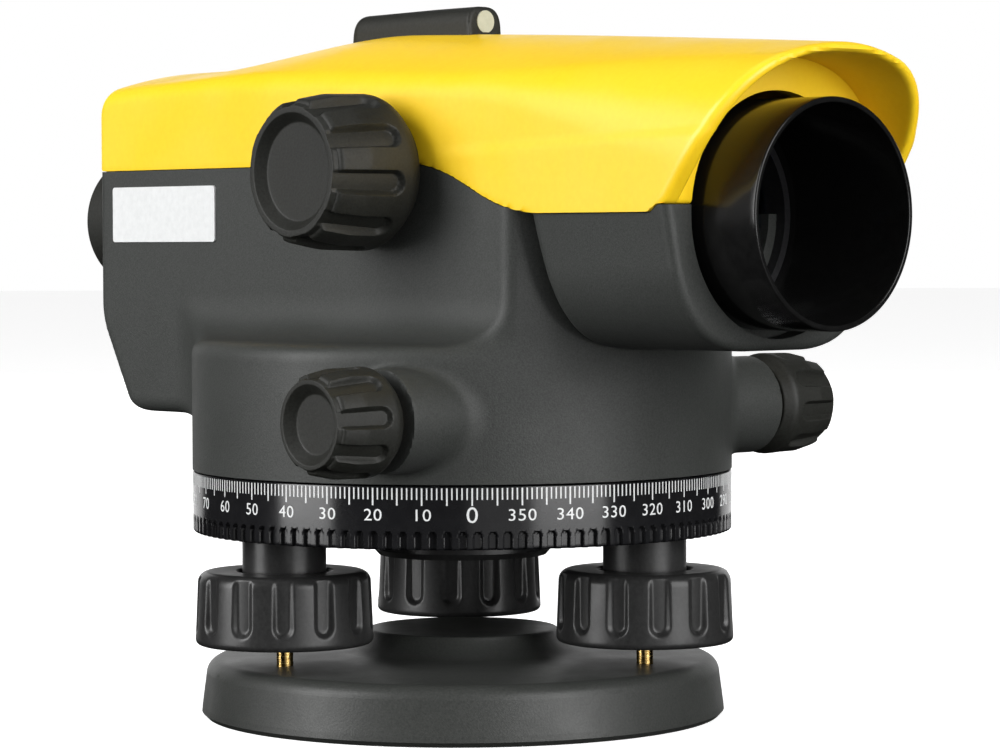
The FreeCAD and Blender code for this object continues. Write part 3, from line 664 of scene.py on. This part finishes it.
def make_footscrew(number):
    node = f"footscrew_knob_{number}"
    low, high = corners_mm(node)
    bottom, top = low[2], high[2]
    corners = [(1.55, bottom), (15.95, bottom, 1.0), (15.4, top, 2.0), (8.4, top, 0.5), (8.2, bottom + 2.6),
               (1.55, bottom + 2.6)]
    phase = math.radians(FOOT_KNOB_TURNS[number - 1])
    pitch = 2 * math.pi / FOOT_FLUTES

    def change(turn, radius, height):
        across_flute = ((turn - phase + pitch / 2) % pitch - pitch / 2) * 15.8
        along = np.maximum(bottom + 4.25 - height, 0.0)
        edge = np.hypot(across_flute, along) - 1.95
        return radius - np.maximum(radius - FOOT_FLUTE_FLOOR_R, 0.0) * (1 - ramp(-0.9, 0.2, edge))

    piece = lathe(f"footscrew_grip_{number}", corners, 468, 0.35, change, closed=True)
    centre = (low + high) / 2
    move_points(piece, lambda old: old[0], lambda old: old[1], lambda old: old[2],
                (centre[0], centre[1], 0.0))
    return finish_piece(piece, f"footscrew_{number}", "foot_black", node)


# Sunshade and eyepiece

def make_sunshade():
    low, high = corners_mm("sunshade")
    length = high[1] - low[1]
    outer = (high[0] - low[0]) / 2
    inner = outer - 1.0
    corners = [(inner, -length), (outer, -length, 0.3), (outer, 0.0, 0.35), (inner, 0.0, 0.3)]
    piece = lathe("shade_tube", corners, 256, 1.2, closed=True)
    aim_along_y(piece, low[1], -1)
    return finish_piece(piece, "alidade", "shade_black", "sunshade")


def make_dioptre_ring():
    low, high = corners_mm("dioptre_ring")
    rear = -(high[1] - low[1])
    outer = (high[0] - low[0]) / 2
    corners = [(11.15, rear), (outer - 0.1, rear, 0.5), (outer - 0.05, -1.8, 1.2), (outer - 1.5, 0.0, 1.0),
               (8.2, 0.0, 0.5), (7.4, -1.2), (7.4, -1.7), (9.7, -1.7), (9.7, -9.6), (11.15, -9.6)]
    pitch = math.pi / 18

    def ribs(turn, radius, height):
        between = np.abs((turn + pitch / 2) % pitch - pitch / 2) * outer - 0.45
        ends = np.abs(height - rear - 7.75) - 6.0
        cut = 1 - ramp(-0.2, 0.2, np.maximum(between, ends))
        return radius - 0.5 * cut * (radius > outer - 0.7)

    piece = lathe("dioptre_grip", corners, 720, 0.35, ribs, closed=True)
    aim_along_y(piece, high[1], 1)
    return finish_piece(piece, "eyepiece_turn", "soft_black", "dioptre_ring")


# Graduation

ZERO_ANGLE = 229.9
TICK_TOP = 44.75
LONG_TICK_BOTTOM = 41.75
SHORT_TICK_BOTTOM = 42.75
NUMBER_Z = 40.0
NUMBER_SIZE = 2.9
ZERO_SIZE = 3.9
DIGIT_WIDTH = 1.13


def wrap(points, radius):
    """Points of a flat drawing (across, up, out) in millimetres, wrapped round the ring."""
    turn = points[:, 0] / radius
    out = radius + points[:, 2]
    return np.stack([out * np.cos(turn), out * np.sin(turn), points[:, 1]], 1)


def make_ring():
    """The ring's body with its row of pockets, which are round at the top and open below."""
    low, high = corners_mm("graduated_ring")
    corners = [(RING_INNER_R, low[2]), (RING_R - 0.25, low[2], 0.15), (RING_R, low[2] + 0.3, 0.15),
               (RING_R, 37.6), (RING_R, high[2], 0.2), (RING_INNER_R, high[2])]
    pitch = 2 * math.pi / RING_POCKETS

    def change(turn, radius, height):
        across_pocket = ((turn + pitch / 2) % pitch - pitch / 2) * RING_R
        along = np.maximum(height - 36.45, 0.0)
        edge = np.hypot(across_pocket, along) - 0.72
        return radius - 0.8 * (1 - ramp(-0.12, 0.12, edge)) * (radius > RING_R - 0.6)

    piece = lathe("circle_ring", corners, RING_POCKETS * 20, 0.3, change, closed=True)
    return finish_piece(piece, "circle", "ring_black", "graduated_ring")


def make_ticks():
    """One tick per degree, longer every five degrees."""
    points = []
    faces = []
    for degree in range(360):
        long = degree % 5 == 0
        bottom = LONG_TICK_BOTTOM if long else SHORT_TICK_BOTTOM
        half = 0.14 if long else 0.12
        centre = math.radians(ZERO_ANGLE - degree) * RING_R
        start = len(points)
        for out in (-0.05, 0.03):
            points += [(centre - half, bottom, out), (centre + half, bottom, out),
                       (centre + half, TICK_TOP, out), (centre - half, TICK_TOP, out)]
        for face in ((4, 5, 6, 7), (0, 1, 5, 4), (1, 2, 6, 5), (2, 3, 7, 6), (3, 0, 4, 7), (3, 2, 1, 0)):
            faces.append([start + k for k in face])
    piece = build("graduation_ticks", wrap(np.array(points), RING_R), faces, smooth=False)
    return finish_piece(piece, "circle", "label_white")


def make_numbers():
    """The circle's numbers, every ten degrees, wrapped round the ring."""
    points = []
    faces = []
    for value in range(0, 360, 10):
        font = bpy.data.curves.new("number", "FONT")
        font.body = str(value)
        font.align_x = "CENTER"
        font.align_y = "CENTER"
        font.size = ZERO_SIZE if value == 0 else NUMBER_SIZE
        font.space_character = 1.08
        font.extrude = 0.04
        font.resolution_u = 4
        text = bpy.data.objects.new("number", font)
        bpy.context.scene.collection.objects.link(text)
        bpy.context.view_layer.update()
        mesh = bpy.data.meshes.new_from_object(text.evaluated_get(bpy.context.evaluated_depsgraph_get()))
        start = len(points)
        centre = math.radians(ZERO_ANGLE - value) * RING_R
        for vertex in mesh.vertices:
            points.append((vertex.co.x * DIGIT_WIDTH + centre, vertex.co.y + NUMBER_Z, vertex.co.z))
        for polygon in mesh.polygons:
            faces.append([start + k for k in polygon.vertices])
        bpy.data.objects.remove(text)
        bpy.data.curves.remove(font)
        bpy.data.meshes.remove(mesh)
    piece = build("graduation_numbers", wrap(np.array(points), RING_R), faces, smooth=False)
    weld(piece)
    return finish_piece(piece, "circle", "label_white")


# Stage

def make_stage():
    """A pale floor, lit so that it stays nearly white, which throws no light back on the part."""
    segments = 64
    radii = (0.5, 1.5, 6.0)
    points = [(0.0, 0.0, 0.0)]
    faces = []
    for row, radius in enumerate(radii):
        for k in range(segments):
            turn = 2 * math.pi * k / segments
            points.append((radius * math.cos(turn) / MM, radius * math.sin(turn) / MM, 0.0))
        for k in range(segments):
            j = (k + 1) % segments
            if row == 0:
                faces.append((0, 1 + k, 1 + j))
            else:
                a = 1 + (row - 1) * segments
                b = 1 + row * segments
                faces.append((a + k, b + k, b + j, a + j))
    floor = build("studio_floor", points, faces)
    made, tree, bsdf = shader("pale_floor", (0.86, 0.86, 0.86), 0.7, Emission_Color=(1.0, 1.0, 1.0, 1.0),
                              Emission_Strength=0.7)
    grain = noise(tree, 30.0, 3.0)
    blotches(tree, bsdf, grain.outputs["Fac"], (0.85, 0.85, 0.85), (0.88, 0.88, 0.88))
    floor.data.materials.append(made)
    floor.visible_diffuse = False
    floor.visible_glossy = False


def area_light(name, place, target, size, power):
    data = bpy.data.lights.new(name, "AREA")
    data.shape = "RECTANGLE"
    data.size = size[0]
    data.size_y = size[1]
    data.energy = power
    lamp = bpy.data.objects.new(name, data)
    lamp.location = place
    lamp.visible_camera = False
    lamp.rotation_euler = (Vector(target) - Vector(place)).to_track_quat("-Z", "Y").to_euler()
    bpy.context.scene.collection.objects.link(lamp)


CAMERA_AZIMUTH = -42.0
CAMERA_DISTANCE = 0.6463
CAMERA_HEIGHT = 0.08644
CAMERA_FOCAL = 126.36
CAMERA_YAW = 0.0108
CAMERA_PITCH = 0.0375
CAMERA_ROLL = -0.0031


def make_camera():
    """Looks at the vertical axis from the objective's left, a little above the middle."""
    azimuth = math.radians(CAMERA_AZIMUTH)
    back = Vector((math.sin(azimuth), -math.cos(azimuth), 0))
    right = Vector((math.cos(azimuth), math.sin(azimuth), 0))
    up = Vector((0, 0, 1))
    across = math.cos(CAMERA_YAW) * right + math.sin(CAMERA_YAW) * back
    ahead = math.sin(CAMERA_YAW) * right - math.cos(CAMERA_YAW) * back
    forward = math.cos(CAMERA_PITCH) * ahead - math.sin(CAMERA_PITCH) * up
    lift = math.sin(CAMERA_PITCH) * ahead + math.cos(CAMERA_PITCH) * up
    c, s = math.cos(CAMERA_ROLL), math.sin(CAMERA_ROLL)
    x_axis = c * across + s * lift
    y_axis = c * lift - s * across
    data = bpy.data.cameras.new("camera")
    data.lens = CAMERA_FOCAL
    data.sensor_width = 36.0
    data.clip_start = 0.01
    camera = bpy.data.objects.new("camera", data)
    place = back * CAMERA_DISTANCE + up * CAMERA_HEIGHT
    rows = [(x_axis[i], y_axis[i], -forward[i], place[i]) for i in range(3)]
    camera.matrix_world = Matrix(rows + [(0.0, 0.0, 0.0, 1.0)])
    bpy.context.scene.collection.objects.link(camera)
    bpy.context.scene.camera = camera


# Height of a direction's unit vector, and the backdrop's brightness there
WORLD_STOPS = ((-1.0, 0.05), (-0.22, 0.08), (-0.12, 1.0), (0.14, 1.0), (0.3, 0.22), (1.0, 0.3))


def make_world():
    """A white backdrop round the horizon, dimmer overhead, dark below and unseen in reflections."""
    world = bpy.data.worlds.new("studio")
    world.use_nodes = True
    tree = world.node_tree
    place = tree.nodes.new("ShaderNodeTexCoord")
    split = tree.nodes.new("ShaderNodeSeparateXYZ")
    fade = tree.nodes.new("ShaderNodeValToRGB")
    elements = fade.color_ramp.elements
    while len(elements) < len(WORLD_STOPS):
        elements.new(0.5)
    for element, (height, grey) in zip(elements, WORLD_STOPS):
        element.position = (height + 1) / 2
        element.color = (grey, grey, grey, 1.0)
    shift = tree.nodes.new("ShaderNodeMapRange")
    shift.inputs["From Min"].default_value = -1.0
    shift.inputs["From Max"].default_value = 1.0
    tree.links.new(place.outputs["Generated"], split.inputs["Vector"])
    tree.links.new(split.outputs["Z"], shift.inputs["Value"])
    tree.links.new(shift.outputs["Result"], fade.inputs["Fac"])
    tree.links.new(fade.outputs["Color"], tree.nodes["Background"].inputs["Color"])
    tree.nodes["Background"].inputs["Strength"].default_value = 1.0
    world.cycles_visibility.glossy = False
    bpy.context.scene.world = world


def make_lights():
    """Tall softboxes left and right of the camera, weak ones overhead and behind, a low glow in front."""
    middle = (0.0, 0.0, 0.07)
    area_light("softbox_left", (-1.10, 0.40, 0.45), middle, (0.6, 1.1), 17.5)
    area_light("softbox_right", (0.06, -1.26, 0.45), middle, (0.8, 1.1), 17.0)
    area_light("overhead", (0.0, 0.1, 1.3), middle, (1.0, 1.0), 2.0)
    area_light("behind", (1.10, 1.20, 0.35), middle, (2.6, 1.0), 9.0)
    area_light("table_glow", (-0.10, -0.60, 0.012), (0.0, -0.08, 0.1), (0.7, 0.4), 0.5)
    bpy.context.scene.view_settings.view_transform = "Standard"


dress_nodes()
make_housing()
make_cover()
make_sight()
make_focus_knob()
make_drive_knob("drive_knob_left", 1)
make_drive_knob("drive_knob_right", -1)
for number in (1, 2, 3):
    make_footscrew(number)
make_sunshade()
make_dioptre_ring()
make_ring()
make_ticks()
make_numbers()
make_stage()
make_world()
make_lights()
make_camera()
